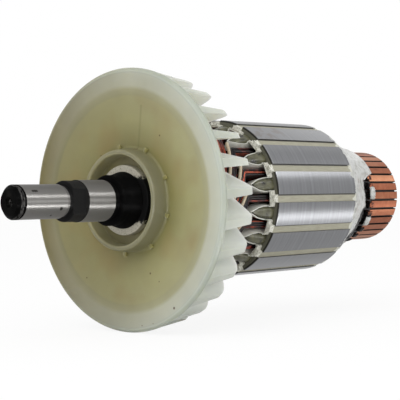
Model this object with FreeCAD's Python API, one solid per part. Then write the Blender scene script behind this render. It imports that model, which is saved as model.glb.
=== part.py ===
import FreeCAD, Part
import math
import os

os.makedirs("parts", exist_ok=True)
V = FreeCAD.Vector

# Wound armature of a universal motor. The shaft lies along X with its drive end at -X.
# The origin is on the shaft axis, in the middle of the front bearing seat.
# Angles round the shaft start at -Y and grow towards +Z. All sizes are millimetres.

# Shaft
seat_1_diameter = 12.0
seat_1_length = 18.3
nose_length = 2.8
nose_chamfer = 1.5
centre_hole_diameter = 2.0
centre_hole_depth = 4.0
centre_cone_depth = 1.6
relief_depth = 0.5
relief_1_length = 2.7
collar_diameter = 14.5
collar_length = 6.0
collar_across_flats = 11.2
seat_2_diameter = 15.0
seat_2_length = 12.6
relief_2_length = 2.5
flange_diameter = 18.5
flange_length = 3.6
flare_diameter = 20.9
flare_length = 4.0
flare_lip = 0.6
body_diameter = 16.0
commutator_seat_diameter = 12.0
rear_seat_diameter = 10.0
rear_seat_length = 14.0
rear_shoulder = 1.6
edge_break = 0.6

# Insulating sleeve between the shaft and all that it carries
sleeve_diameter = 20.0
fan_seat_diameter = 25.8
sleeve_end_gap = 3.2

# Fan
fan_diameter = 97.2
fan_setback = 0.5
rim_thickness = 2.0
rim_round = 1.3
land_width = 7.2
land_slope = 0.6
dish_wall = 2.2
boss_rise = 3.25
boss_diameter = 36.8
boss_draft = 0.9
boss_height = 6.6
recess_diameter = 33.6
recess_draft = 0.3
recess_depth = 5.5
rear_hub_diameter = 34.0
hub_rear_length = 17.25
blade_count = 28
blade_length = 18.0
blade_foot_thickness = 3.0
blade_end_thickness = 1.8
blade_lean = 27.0
blade_taper = 0.11
blade_end_slope = 0.12
blade_inner_diameter = 66.0
blade_diameter = 96.8
blade_corner = 3.2
blade_root = 0.2
blade_phase = 1.7
rib_count = 9
rib_phase = -17.0
rib_width = 1.4
rib_height = 1.0
rib_reach = 1.6

# Laminated core
core_diameter = 62.4
core_length = 52.0
fan_to_core = 52.4
core_edge = 0.5
slot_count = 16
slot_phase = -0.9
slot_mouth_width = 3.2
slot_top_width = 6.4
slot_bottom_width = 1.9
slot_lip = 1.6
slot_neck = 0.5
slot_shoulder = 0.6
# Slot depth as a share of the iron between the sleeve and the rim of the core
slot_share = 0.533

# Slot liners and wedges
fit_gap = 0.03
liner_thickness = 0.4
liner_overhang = 2.6
liner_rear_overhang = 0.6
liner_nose = 2.4
liner_wing_height = 5.4
liner_wing_gap = 0.2
wedge_thickness = 0.5
wedge_overhang = 3.0
wedge_rear_overhang = 0.4
wedge_recess = 0.5

# End insulators, one moulded spider on each end face of the core
spider_thickness = 0.8
spider_ring_gap = 1.0
arm_width = 4.0
cap_length = 8.4
cap_width = 4.6
cap_height = 6.6
cap_inset = 2.0
# Cap sections as shares of its length, width and height, then how far each drops
cap_shape = (
    (0.0, 1.0, 1.0, 0.0),
    (0.45, 0.96, 0.94, 0.35),
    (0.8, 0.72, 0.76, 0.9),
    (1.0, 0.4, 0.5, 1.3),
)
rear_cap_length = 3.2
rear_cap_inset = 4.4

# Windings
coil_pitch_slots = 7
wedge_clearance = 1.6
layer_gap = 0.7
slot_floor_gap = 1.0
bundle_clearance = 0.12
head_half_width = 1.3
head_half_height = 1.7
nose_drop = 0.8
nose_depth = 5.0
front_straight = 12.2
front_head_length = 15.2
rear_straight = 4.0
rear_head_length = 13.6
head_steps = 8
separator_diameter = 1.2
separator_lift = 1.9
separator_span = (0.04, 0.62)

# Commutator
core_to_bars = 28.1
bar_count = 32
bar_length = 20.9
commutator_diameter = 39.8
bar_depth = 5.2
bar_gap = 0.65
bar_end_round = 0.9
mica_undercut = 0.8
mica_end_gap = 1.4
hook_width = 2.0
hook_step = 1.2
hook_thickness = 0.9
hook_reach = 3.0
hook_fold = 3.6
moulding_front_length = 5.8
moulding_front_diameter = 36.4
moulding_rear_diameter = 34.0
moulding_rear_length = 1.0
bush_diameter = 17.0
lead_diameter = 0.86
lead_length = 6.6
lead_side_angle = 5.4
lead_tail_angle = 3.6
lead_clearance = 0.08

# Poured resin over the rear winding head
resin_start_gap = 0.8
resin_end_radius = 22.0
resin_inset = 2.0
resin_wall = 1.5
resin_to_bars = 7.6
resin_lump = 0.45

# Places along the shaft
x_seat_1_end = seat_1_length / 2
x_nose = -seat_1_length / 2
x_front_end = x_nose - nose_length
x_collar = x_seat_1_end + relief_1_length
x_seat_2 = x_collar + collar_length
x_seat_2_end = x_seat_2 + seat_2_length
x_flange = x_seat_2_end + relief_2_length
x_flare = x_flange + flange_length
x_sleeve = x_flare + flare_length + flare_lip
x_rim = x_sleeve + fan_setback
x_rim_rear = x_rim + rim_thickness
x_blade_end = x_rim_rear + blade_length
x_boss = x_rim - boss_rise
x_hub_end = x_boss + boss_height + hub_rear_length
x_core = x_rim + fan_to_core
x_core_end = x_core + core_length
x_bars = x_core_end + core_to_bars
x_bars_end = x_bars + bar_length
x_moulding = x_bars - moulding_front_length
x_moulding_end = x_bars_end + moulding_rear_length
x_sleeve_end = x_moulding - sleeve_end_gap
x_rear_seat = x_moulding_end + rear_shoulder
x_rear_end = x_rear_seat + rear_seat_length

# Places out from the shaft axis
core_radius = core_diameter / 2
slot_depth = slot_share * (core_diameter - sleeve_diameter) / 2
slot_top_radius = core_radius - slot_lip - slot_neck - slot_shoulder
slot_bottom_radius = slot_top_radius - slot_depth
layer_half_height = (slot_depth - wedge_clearance - layer_gap - slot_floor_gap) / 4
outer_layer_radius = slot_top_radius - wedge_clearance - layer_half_height
inner_layer_radius = outer_layer_radius - 2 * layer_half_height - layer_gap
nose_outer_radius = inner_layer_radius - nose_drop
nose_inner_radius = nose_outer_radius - nose_depth
spider_ring_radius = slot_bottom_radius - spider_ring_gap
cap_outer_radius = core_radius - cap_inset
rear_cap_outer_radius = core_radius - rear_cap_inset
resin_start_radius = core_radius - resin_inset

slot_pitch = 360.0 / slot_count
bar_pitch = 360.0 / bar_count
coil_span = coil_pitch_slots * slot_pitch


def turn(shape, angle):
    """A copy of the shape, turned round the shaft axis."""
    copy = shape.copy()
    copy.rotate(V(0, 0, 0), V(1, 0, 0), -angle)
    return copy


def ring_of(shape, count, phase=0.0):
    return [turn(shape, phase + 360.0 * i / count) for i in range(count)]


def at(x, radius, angle):
    """Point from cylinder coordinates round the shaft axis."""
    a = math.radians(angle)
    return V(x, -radius * math.cos(a), radius * math.sin(a))


def outline(points, place):
    """Closed wire through (a, b) corners, or (a, b, radius) for a rounded corner."""
    corners = [(V(p[0], p[1], 0), p[2] if len(p) > 2 else 0.0) for p in points]
    ends = []
    for i, (corner, radius) in enumerate(corners):
        before = (corners[i - 1][0] - corner).normalize()
        after = (corners[(i + 1) % len(corners)][0] - corner).normalize()
        if radius <= 0:
            ends.append((corner, None, corner))
            continue
        half = before.getAngle(after) / 2
        cut = radius / math.tan(half)
        middle = (before + after).normalize()
        centre = corner + middle * (radius / math.sin(half))
        ends.append((corner + before * cut, centre - middle * radius, corner + after * cut))
    edges = []
    for i, (start, through, finish) in enumerate(ends):
        if through is not None:
            edges.append(Part.Arc(place(start), place(through), place(finish)).toShape())
        following = ends[(i + 1) % len(ends)][0]
        if finish.distanceToPoint(following) > 1e-6:
            edges.append(Part.makeLine(place(finish), place(following)))
    return Part.Wire(edges)


def turned(points):
    """Solid turned from an (x, radius) profile."""
    wire = outline(points, lambda p: V(p.x, p.y, 0))
    return Part.Face(wire).revolve(V(0, 0, 0), V(1, 0, 0), 360)


def prism(points, x, length):
    """Solid drawn along the shaft from a (radial, sideways) profile at angle zero."""
    wire = outline(points, lambda p: V(x, -p.x, p.y))
    return Part.Face(wire).extrude(V(length, 0, 0))


def mirrored(points):
    """Profile made symmetric about its radial line from its one-sided half."""
    other = [(p[0], -p[1]) + tuple(p[2:]) for p in reversed(points)]
    return list(points) + other


def angle_of(offset, radius):
    return math.degrees(math.atan2(offset, radius))


def save(name, shape):
    shape.exportStep("parts/%s.step" % name)
    print(name, "solids", len(shape.Solids), "valid", shape.isValid(), "volume %.1f" % shape.Volume)


# Shaft
def make_shaft():
    seat_1 = seat_1_diameter / 2
    seat_2 = seat_2_diameter / 2
    rear = rear_seat_diameter / 2
    profile = [
        (x_front_end, 0),
        (x_front_end, seat_1 - nose_chamfer),
        (x_front_end + nose_chamfer, seat_1),
        (x_nose - 0.7, seat_1),
        (x_nose - 0.5, seat_1 - 0.3),
        (x_nose - 0.1, seat_1 - 0.3),
        (x_nose, seat_1),
        (x_seat_1_end, seat_1),
        (x_seat_1_end + relief_depth, seat_1 - relief_depth),
        (x_collar, seat_1 - relief_depth),
        (x_collar, collar_diameter / 2 - 0.3),
        (x_collar + 0.3, collar_diameter / 2),
        (x_seat_2, collar_diameter / 2),
        (x_seat_2, seat_2),
        (x_seat_2_end, seat_2),
        (x_seat_2_end + relief_depth, seat_2 - relief_depth),
        (x_flange, seat_2 - relief_depth),
        (x_flange, flange_diameter / 2 - 0.4),
        (x_flange + 0.4, flange_diameter / 2),
        (x_flare, flange_diameter / 2, 3.0),
        (x_flare + flare_length, flare_diameter / 2),
        (x_sleeve, flare_diameter / 2),
        (x_sleeve, body_diameter / 2),
        (x_sleeve_end, body_diameter / 2),
        (x_sleeve_end + edge_break, commutator_seat_diameter / 2 + edge_break),
        (x_sleeve_end + 2 * edge_break, commutator_seat_diameter / 2),
        (x_rear_seat, commutator_seat_diameter / 2),
        (x_rear_seat, rear),
        (x_rear_end - edge_break, rear),
        (x_rear_end, rear - edge_break),
        (x_rear_end, 0),
    ]
    shaft = turned(profile)
    # Lathe centre holes in both ends
    hole = centre_hole_diameter / 2
    wide = hole + centre_cone_depth * math.tan(math.radians(30))
    front_hole = [
        (x_front_end - 1, 0),
        (x_front_end - 1, wide),
        (x_front_end, wide),
        (x_front_end + centre_cone_depth, hole),
        (x_front_end + centre_hole_depth, hole),
        (x_front_end + centre_hole_depth + hole * 0.6, 0),
    ]
    rear_hole = [(x_front_end + x_rear_end - p[0], p[1]) for p in front_hole]
    shaft = shaft.cut([turned(front_hole), turned(rear_hole)])
    # Two flats across the collar, facing -Y and +Y
    flat = collar_across_flats / 2
    flats = []
    for side in (1, -1):
        block = Part.makeBox(collar_length, collar_diameter, collar_diameter * 2,
                             V(x_collar, 0, -collar_diameter))
        block.translate(V(0, flat if side > 0 else -flat - collar_diameter, 0))
        flats.append(block)
    return shaft.cut(flats)


# Insulating sleeve, wide under the fan and thin through the core
def make_sleeve():
    bore = body_diameter / 2 + fit_gap
    wide = fan_seat_diameter / 2
    return turned([
        (x_sleeve + fit_gap, bore),
        (x_sleeve + fit_gap, wide, 0.4),
        (x_hub_end + 2.0, wide, 0.4),
        (x_hub_end + 2.0 + 3.0, sleeve_diameter / 2),
        (x_sleeve_end, sleeve_diameter / 2),
        (x_sleeve_end, bore),
    ])


# Fan: dished front plate, boss with a recess, and leaning blades behind the rim
def make_fan():
    outer = fan_diameter / 2
    bore = fan_seat_diameter / 2 + fit_gap
    boss = boss_diameter / 2
    recess = recess_diameter / 2
    x_foot = x_boss + boss_height
    x_land = x_rim + land_slope
    land = outer - land_width
    plate = turned([
        (x_boss + recess_depth, bore),
        (x_boss + recess_depth, recess - recess_draft, 0.5),
        (x_boss, recess, 0.6),
        (x_boss, boss, 0.8),
        (x_foot, boss + boss_draft, 1.0),
        (x_land, land),
        (x_rim, outer, rim_round),
        (x_rim_rear, outer, 0.5),
        (x_rim_rear + 0.4, land),
        (x_foot + dish_wall, rear_hub_diameter / 2 + 2.0, 2.0),
        (x_hub_end, rear_hub_diameter / 2 - 0.6, 0.8),
        (x_hub_end, bore),
    ])
    # Blades lean back, so that each outer end trails below its root on the -Y side
    lean = math.radians(blade_lean)
    along = (math.cos(lean), -math.sin(lean))
    across = (math.sin(lean), math.cos(lean))
    tip = blade_diameter / 2
    root = blade_inner_diameter / 2
    reach = tip * math.cos(lean) - math.sqrt(root ** 2 - (tip * math.sin(lean)) ** 2)

    def on_blade(inward, side):
        return (tip - inward * along[0] + side * across[0], -inward * along[1] + side * across[1])

    # A blade is thick at its foot on the rim and thin at its free end
    sections = []
    for x, half in ((x_rim_rear - blade_root, blade_foot_thickness / 2), (x_blade_end, blade_end_thickness / 2)):
        corners = [
            on_blade(-3.0, half),
            on_blade(-3.0, -half),
            on_blade(reach, -half) + (half * 0.8,),
            on_blade(reach, half) + (half * 0.8,),
        ]
        sections.append(outline(corners, lambda p, x=x: V(x, -p.x, p.y)))
    strip = Part.makeLoft(sections, True, True)
    envelope = turned([
        (x_rim, 0),
        (x_rim, tip),
        (x_rim_rear, tip),
        (x_blade_end, tip - blade_taper * blade_length, blade_corner),
        (x_blade_end - blade_end_slope * (tip - root), root),
        (x_blade_end - blade_end_slope * (tip - root), 0),
    ])
    blade = strip.common(envelope)
    # Low webs at the foot of the boss
    web = Part.makeBox(rib_height + dish_wall / 2, boss_draft + rib_reach, rib_width,
                       V(x_foot - rib_height, -boss - boss_draft - rib_reach, -rib_width / 2))
    pieces = ring_of(blade, blade_count, blade_phase) + ring_of(web, rib_count, rib_phase)
    return plate.multiFuse(pieces).removeSplitter()


# Slot profile, drawn smaller all round by the inset
def slot_side(radius):
    share = (radius - slot_bottom_radius) / (slot_top_radius - slot_bottom_radius)
    return (slot_bottom_width + (slot_top_width - slot_bottom_width) * share) / 2


def slot_body(inset, top):
    bottom = slot_bottom_radius + inset
    return mirrored([
        (top, slot_side(top) - inset),
        (bottom, slot_side(bottom) - inset, 0.3),
    ])


def make_core():
    outer = core_radius
    blank = turned([
        (x_core, sleeve_diameter / 2 + fit_gap),
        (x_core, outer - core_edge),
        (x_core + core_edge, outer),
        (x_core_end - core_edge, outer),
        (x_core_end, outer - core_edge),
        (x_core_end, sleeve_diameter / 2 + fit_gap),
    ])
    mouth = slot_mouth_width / 2
    top = slot_top_width / 2
    lip = outer - slot_lip
    slot = prism(mirrored([
        (outer + 1, mouth),
        (lip, mouth),
        (slot_top_radius + slot_shoulder, top),
        (slot_top_radius, top),
        (slot_bottom_radius, slot_bottom_width / 2, 0.4),
    ]), x_core - 1, core_length + 2)
    return blank.cut(ring_of(slot, slot_count, slot_phase))


# Slot liners: thin channels in the slots, whose front ends fold round the caps beside them
def make_liners():
    top = slot_top_radius - fit_gap
    inner = fit_gap + liner_thickness
    x_start = x_core - liner_overhang
    length = core_length + liner_overhang + liner_rear_overhang
    shell = prism(slot_body(fit_gap, top), x_start, length)
    hollow = slot_body(inner, top + 1)
    channel = shell.cut(prism(hollow, x_start - 1, length + 2))
    # Each wing leaves a channel wall and follows the side of the cap to its nose
    high = top - 0.9
    low = high - liner_wing_height
    t = liner_thickness
    wings = []
    for side in (1, -1):
        root = []
        for radius, depth in ((high, 0), (high, t), (low, t), (low, 0)):
            offset = slot_side(radius) - fit_gap - depth
            root.append(at(x_start + 0.3, math.hypot(radius, offset), side * angle_of(offset, radius)))
        sections = [root]
        reaches = [(cap_length * share, cap_width * width / 2 + liner_wing_gap)
                   for share, width, height, drop in cap_shape if share > 0.4]
        reaches.append((cap_length + liner_nose, 0.08))
        for ahead, gap in reaches:
            drop = 0.6 * ahead / cap_length
            corners = ((high - drop, gap), (high - drop, gap + t), (low + drop, gap + t), (low + drop, gap))
            sections.append([at(x_core - ahead, math.hypot(radius, offset),
                                side * (slot_pitch / 2 - angle_of(offset, radius)))
                             for radius, offset in corners])
        wings.append(Part.makeLoft([Part.makePolygon(c + c[:1]) for c in sections], True, True))
    liner = channel.multiFuse(wings)
    return Part.makeCompound(ring_of(liner, slot_count, slot_phase))


# Slot wedges: T-shaped strips that close the slot mouths
def make_wedges():
    mouth = slot_mouth_width / 2 - fit_gap
    wide = slot_top_width / 2 - fit_gap
    foot = slot_top_radius + fit_gap
    wedge = prism(mirrored([
        (core_radius - wedge_recess, mouth, 0.3),
        (core_radius - slot_lip - 0.2, mouth),
        (foot + wedge_thickness, wide, 0.2),
        (foot, wide),
    ]), x_core - wedge_overhang, core_length + wedge_overhang + wedge_rear_overhang)
    return Part.makeCompound(ring_of(wedge, slot_count, slot_phase))


# End insulators: a spider on the end face with a rounded cap standing on each tooth
def make_cap(length, outer):
    sections = []
    for share, width, height, drop in cap_shape:
        w = cap_width * width / 2
        h = cap_height * height / 2
        c = outer - cap_height / 2 - drop
        corner = min(w, h) * 0.7
        points = [(c + h, w, corner), (c - h, w, corner), (c - h, -w, corner), (c + h, -w, corner)]
        x = -length * share
        sections.append(outline(points, lambda p, x=x: V(x, -p.x, p.y)))
    return Part.makeLoft(sections, True, False)


def make_spider(length, outer):
    """Spider that faces -X, with the core's face at x = 0."""
    ring = turned([
        (-spider_thickness, sleeve_diameter / 2 + fit_gap),
        (-spider_thickness, spider_ring_radius),
        (0, spider_ring_radius),
        (0, sleeve_diameter / 2 + fit_gap),
    ])
    half = arm_width / 2
    inner = spider_ring_radius - 1
    arm = prism([(outer - 1, half), (inner, half), (inner, -half), (outer - 1, -half)],
                -spider_thickness, spider_thickness)
    cap = make_cap(length, outer)
    tooth = slot_phase + slot_pitch / 2
    pieces = ring_of(arm, slot_count, tooth) + ring_of(cap, slot_count, tooth)
    return ring.multiFuse(pieces).removeSplitter()


def make_front_insulator():
    spider = make_spider(cap_length, cap_outer_radius)
    spider.translate(V(x_core - fit_gap, 0, 0))
    return spider


def make_rear_insulator():
    spider = make_spider(rear_cap_length, rear_cap_outer_radius)
    spider = spider.mirror(V(0, 0, 0), V(1, 0, 0))
    spider.translate(V(x_core_end + fit_gap, 0, 0))
    return spider


# Windings: each coil is one bundle of wire through an outer and an inner slot side.
# Outside the core the outer side winds one way and the inner side the other way,
# so the bundles of a layer lie side by side and the two layers never cross.
def head_stations(x_core_face, direction, straight, length, inner_first):
    """Stations of one winding head, from the outer slot side to the inner one."""
    x_start = x_core_face + direction * straight
    x_nose = x_start + direction * length
    half_span = coil_span / 2
    stations = []
    for i in range(head_steps + 1):
        share = i / head_steps
        radius = outer_layer_radius + (nose_outer_radius - outer_layer_radius) * share
        x = x_start + (x_nose - x_start) * share
        stations.append((x, radius, -half_span * share, V(0, 0, 1)))
    bend = (nose_outer_radius - nose_inner_radius) / 2
    for lift, turn_share in ((0.7, 0.5), (1.0, 0.0), (0.7, -0.5)):
        radius = (nose_outer_radius + nose_inner_radius) / 2 + bend * turn_share
        x = x_nose + direction * bend * lift
        stations.append((x, radius, -half_span, V(direction * lift, 0, turn_share * 1.4)))
    for i in range(head_steps, -1, -1):
        share = i / head_steps
        radius = inner_layer_radius + (nose_inner_radius - inner_layer_radius) * share
        x = x_start + (x_nose - x_start) * share
        stations.append((x, radius, -coil_span + half_span * share, V(0, 0, -1)))
    return stations[::-1] if inner_first else stations


def bundle_side(radius):
    """Half width of a bundle at a radius inside its slot."""
    return slot_side(radius) - fit_gap - liner_thickness - bundle_clearance


def make_coil():
    front = head_stations(x_core, -1, front_straight, front_head_length, False)
    rear = head_stations(x_core_end, 1, rear_straight, rear_head_length, True)
    loop = front + rear
    points = [at(x, radius, angle) for x, radius, angle, lift in loop]
    sections = []
    count = len(loop)
    for i, (x, radius, angle, lift) in enumerate(loop):
        outward = at(0, 1, angle)
        if i in (0, count - 1, len(front) - 1, len(front)):
            # The straight runs lie square in their slots
            side = 1 if lift.z > 0 else -1
            height = outward * side
            sideways = outward.cross(V(1, 0, 0))
            half_height = layer_half_height
            widths = [bundle_side(radius + side * h) for h in (half_height, -half_height)]
        else:
            forward = (points[(i + 1) % count] - points[i]).normalize()
            backward = (points[i] - points[i - 1]).normalize()
            along = (forward + backward).normalize()
            height = V(lift.x, 0, 0) + outward * lift.z
            height = (height - along * height.dot(along)).normalize()
            sideways = along.cross(height).normalize()
            half_height = head_half_height
            widths = [head_half_width, head_half_width]
        top = points[i] + height * half_height
        bottom = points[i] - height * half_height
        corners = [
            top + sideways * widths[0],
            top - sideways * widths[0],
            bottom - sideways * widths[1],
            bottom + sideways * widths[1],
        ]
        sections.append(Part.makePolygon(corners + corners[:1]))
    half = len(front)
    first = Part.makeLoft(sections[:half + 1], True, True)
    second = Part.makeLoft(sections[half:] + sections[:1], True, True)
    return first.fuse(second)


# Tape strips laid in the furrows between the outer bundles of the front head
def make_separators():
    radius = separator_diameter / 2
    x_start = x_core - front_straight
    half_span = coil_span / 2
    points = []
    for i in range(7):
        share = separator_span[0] + (separator_span[1] - separator_span[0]) * i / 6
        seat = outer_layer_radius + (nose_outer_radius - outer_layer_radius) * share + separator_lift
        angle = slot_pitch / 2 - half_span * share
        points.append(at(x_start - front_head_length * share, seat, angle))
    curve = Part.BSplineCurve()
    curve.interpolate(points)
    spine = Part.Wire([curve.toShape()])
    start = curve.tangent(curve.FirstParameter)[0]
    profile = Part.Wire([Part.makeCircle(radius, points[0], start)])
    strip = spine.makePipeShell([profile], True, False)
    return Part.makeCompound(ring_of(strip, slot_count, slot_phase))


# Poured resin: an uneven crust over the rear winding head
def make_resin():
    x_start = x_core_end + resin_start_gap
    x_end = x_bars - resin_to_bars
    sections = []
    for i, share in enumerate((0.0, 0.12, 0.4, 0.7, 1.0)):
        x = x_start + (x_end - x_start) * share
        fall = max(0.0, share - 0.12) / 0.88
        mean = resin_start_radius + (resin_end_radius - resin_start_radius) * fall
        points = []
        for k in range(48):
            angle = 7.5 * k
            a = math.radians(angle)
            lump = math.sin(5 * a + 2.1 * i) + 0.7 * math.sin(9 * a + 1.3 + 3.7 * i)
            lump += 0.4 * math.sin(14 * a + i)
            points.append(at(x, mean + resin_lump * lump / 2, angle))
        curve = Part.BSplineCurve()
        curve.interpolate(points, True)
        sections.append(Part.Wire([curve.toShape()]))
    crust = Part.makeLoft(sections, True, False)
    inner = turned([
        (x_start - 1, 0),
        (x_start - 1, resin_start_radius - resin_wall),
        (x_start + (x_end - x_start) * 0.12, resin_start_radius - resin_wall),
        (x_end + 1, resin_end_radius - resin_wall),
        (x_end + 1, 0),
    ])
    return crust.cut(inner)


# Commutator
def make_bars():
    outer = commutator_diameter / 2
    inner = outer - bar_depth
    half_angle = math.radians(bar_pitch / 2)
    outer_half = outer * math.tan(half_angle) - bar_gap / 2
    inner_half = inner * math.tan(half_angle) - bar_gap / 2
    block = prism(mirrored([(outer + 1, outer_half + 0.1), (inner, inner_half)]), x_bars, bar_length)
    envelope = turned([
        (x_bars, 0),
        (x_bars, outer),
        (x_bars_end, outer, bar_end_round),
        (x_bars_end, 0),
    ])
    bar = block.common(envelope)
    low = outer - hook_step
    high = low + hook_thickness
    fold = high + lead_diameter + lead_clearance + fit_gap
    x_tip = x_bars - hook_reach
    hook = outline([
        (x_bars + 0.5, low),
        (x_tip, low, 0.8),
        (x_tip, fold + hook_thickness, 0.8),
        (x_tip + hook_fold, fold + hook_thickness * 0.7),
        (x_tip + hook_fold, fold),
        (x_tip + hook_thickness, fold, 0.3),
        (x_tip + hook_thickness, high, 0.3),
        (x_bars + 0.5, high),
    ], lambda p: V(p.x, -p.y, -hook_width / 2))
    hook = Part.Face(hook).extrude(V(0, 0, hook_width))
    return Part.makeCompound(ring_of(bar.fuse(hook), bar_count))


def make_mica():
    outer = commutator_diameter / 2 - mica_undercut
    inner = commutator_diameter / 2 - bar_depth
    half = bar_gap / 2 - fit_gap
    strip = prism(mirrored([(outer, half), (inner, half)]), x_bars, bar_length - mica_end_gap)
    return Part.makeCompound(ring_of(strip, bar_count, bar_pitch / 2))


def make_moulding():
    seat = commutator_diameter / 2 - bar_depth - fit_gap
    bore = bush_diameter / 2 + fit_gap
    front = moulding_front_diameter / 2
    return turned([
        (x_moulding, bore),
        (x_moulding, front, 0.8),
        (x_bars - 0.4, front),
        (x_bars - fit_gap, front - 0.4),
        (x_bars - fit_gap, seat),
        (x_bars_end + fit_gap, seat),
        (x_bars_end + fit_gap, moulding_rear_diameter / 2),
        (x_moulding_end, moulding_rear_diameter / 2 - 0.5),
        (x_moulding_end, bore),
    ])


def make_bush():
    bore = commutator_seat_diameter / 2 + fit_gap
    outer = bush_diameter / 2
    return turned([
        (x_moulding - 1.0, bore),
        (x_moulding - 1.0, outer),
        (x_moulding_end + 0.4, outer),
        (x_moulding_end + 0.4, bore),
    ])


# Leads: each comes out of the resin beside its hook, then crosses the fold of the hook
def make_leads():
    radius = lead_diameter / 2
    seat = commutator_diameter / 2 - hook_step + hook_thickness + radius + lead_clearance
    x_hook = x_bars - hook_reach + hook_thickness + radius + 0.1
    start = at(x_hook - lead_length, seat, lead_side_angle + 1.2)
    elbow = at(x_hook, seat, lead_side_angle)
    tail = at(x_hook, seat, -lead_tail_angle)
    run = Part.makeCylinder(radius, (elbow - start).Length, start, elbow - start)
    cross = Part.makeCylinder(radius, (tail - elbow).Length, elbow, tail - elbow)
    lead = run.multiFuse([cross, Part.makeSphere(radius, elbow)])
    return Part.makeCompound(ring_of(lead, bar_count))


save("shaft", make_shaft())
save("shaft_sleeve", make_sleeve())
save("fan", make_fan())
save("core", make_core())
save("slot_liners", make_liners())
save("slot_wedges", make_wedges())
save("front_end_insulator", make_front_insulator())
save("rear_end_insulator", make_rear_insulator())
coil = make_coil()
for number in range(slot_count):
    save("coil_%02d" % (number + 1), turn(coil, slot_phase + slot_pitch * number))
save("coil_separators", make_separators())
save("rear_resin", make_resin())
save("commutator_bars", make_bars())
save("commutator_mica", make_mica())
save("commutator_moulding", make_moulding())
save("commutator_bush", make_bush())
save("lead_wires", make_leads())
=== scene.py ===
import bpy
import bmesh
import math
import random
from functools import partial
from mathutils import Matrix, Vector, noise


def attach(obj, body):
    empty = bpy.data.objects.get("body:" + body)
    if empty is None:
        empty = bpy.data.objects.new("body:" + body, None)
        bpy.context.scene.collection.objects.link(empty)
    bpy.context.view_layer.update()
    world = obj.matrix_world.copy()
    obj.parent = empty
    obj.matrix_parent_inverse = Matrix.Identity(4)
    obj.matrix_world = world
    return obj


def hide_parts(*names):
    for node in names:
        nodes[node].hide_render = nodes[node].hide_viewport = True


# Motor armature: materials and looks around the fixed CAD frame.
# The shaft lies along X, drive end at -X. Angles round it start at -Y and grow towards +Z.

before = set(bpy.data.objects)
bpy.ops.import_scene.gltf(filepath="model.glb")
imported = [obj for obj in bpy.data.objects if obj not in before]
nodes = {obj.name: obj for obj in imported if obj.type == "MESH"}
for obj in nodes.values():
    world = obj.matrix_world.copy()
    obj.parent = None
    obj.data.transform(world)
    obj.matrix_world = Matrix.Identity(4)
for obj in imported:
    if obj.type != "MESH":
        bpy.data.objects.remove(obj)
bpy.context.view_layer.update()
random.seed(7)
noise.seed_set(7)  # without it the frayed ends and the drift of the wires differ from run to run
print("frame loaded")


def toLinear(hexColour):
    channels = [int(hexColour[i:i + 2], 16) / 255 for i in (1, 3, 5)]
    return tuple(c / 12.92 if c <= 0.04045 else ((c + 0.055) / 1.055) ** 2.4 for c in channels) + (1,)


def fill(node, inputs):
    # inputs by name, or in the order they show, each a value, a hex colour, a socket or another node
    shown = [socket for socket in node.inputs if socket.enabled]
    for key, value in inputs.items() if isinstance(inputs, dict) else enumerate(inputs):
        socket = node.inputs[key] if isinstance(key, str) else shown[key]
        if isinstance(value, bpy.types.Node):
            value = next(output for output in value.outputs if output.enabled)
        if isinstance(value, bpy.types.NodeSocket):
            node.id_data.links.new(value, socket)
        else:
            socket.default_value = toLinear(value) if isinstance(value, str) else value


def addNode(tree, kind, inputs=(), stops=(), **settings):
    # one node with its settings, its inputs and a ramp's stops
    node = tree.nodes.new("ShaderNode" + kind)
    for name, value in settings.items():
        setattr(node, name, value)
    fill(node, inputs)
    for i, (place, colour) in enumerate(stops):
        element = node.color_ramp.elements[i] if i < 2 else node.color_ramp.elements.new(place)
        element.position = place
        element.color = toLinear(colour) if isinstance(colour, str) else (colour, colour, colour, 1)
    return node


def newMaterial(name, **shaderValues):
    # a Principled material, a short way to add nodes to it, and where a point lies on the object:
    # in millimetres, with the radius and the angle in radians round the shaft
    material = bpy.data.materials.new(name)
    material.use_nodes = True
    add = partial(addNode, material.node_tree)
    shader = material.node_tree.nodes["Principled BSDF"]
    fill(shader, {key.replace("_", " "): value for key, value in shaderValues.items()})
    coords = add("TexCoord")
    place = add("VectorMath", [coords.outputs["Object"], 1000.0], operation="SCALE")
    x, y, z = add("SeparateXYZ", [place]).outputs
    flat = add("CombineXYZ", [0, y, z])
    reach = add("VectorMath", [flat], operation="LENGTH")
    minusY = add("Math", [y, -1.0], operation="MULTIPLY")
    angle = add("Math", [z, minusY], operation="ARCTAN2")
    return material, add, shader, {"place": place, "x": x, "y": y, "z": z, "radius": reach, "angle": angle}


def turnedSheen(add, shader, amount):
    # lathe lines run round the shaft, so the highlights on them spread along it
    tangent = add("Tangent", direction_type="RADIAL", axis="X")
    fill(shader, {"Tangent": tangent, "Anisotropic": amount, "Anisotropic Rotation": 0.25})


def dress(nodeName, material, sharpDegrees=None):
    # the material, and smooth shading below the given edge angle
    mesh = nodes[nodeName].data
    mesh.materials.clear()
    mesh.materials.append(material)
    if sharpDegrees:
        mesh.shade_smooth()
        mesh.set_sharp_from_angle(angle=math.radians(sharpDegrees))


def newMesh(name, vertices, faces, material):
    # a smooth mesh with its material
    mesh = bpy.data.meshes.new(name)
    mesh.from_pydata(vertices, [], faces)
    mesh.update()
    mesh.shade_smooth()
    mesh.materials.append(material)
    return mesh


def addObject(name, data):
    # an object in the scene
    thing = bpy.data.objects.new(name, data)
    bpy.context.scene.collection.objects.link(thing)
    return thing


def pointAt(x, radius, degrees):
    # place in metres from millimetres along the shaft, radius and angle round it
    a = math.radians(degrees)
    return Vector((x, -radius * math.cos(a), radius * math.sin(a))) * 0.001


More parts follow.
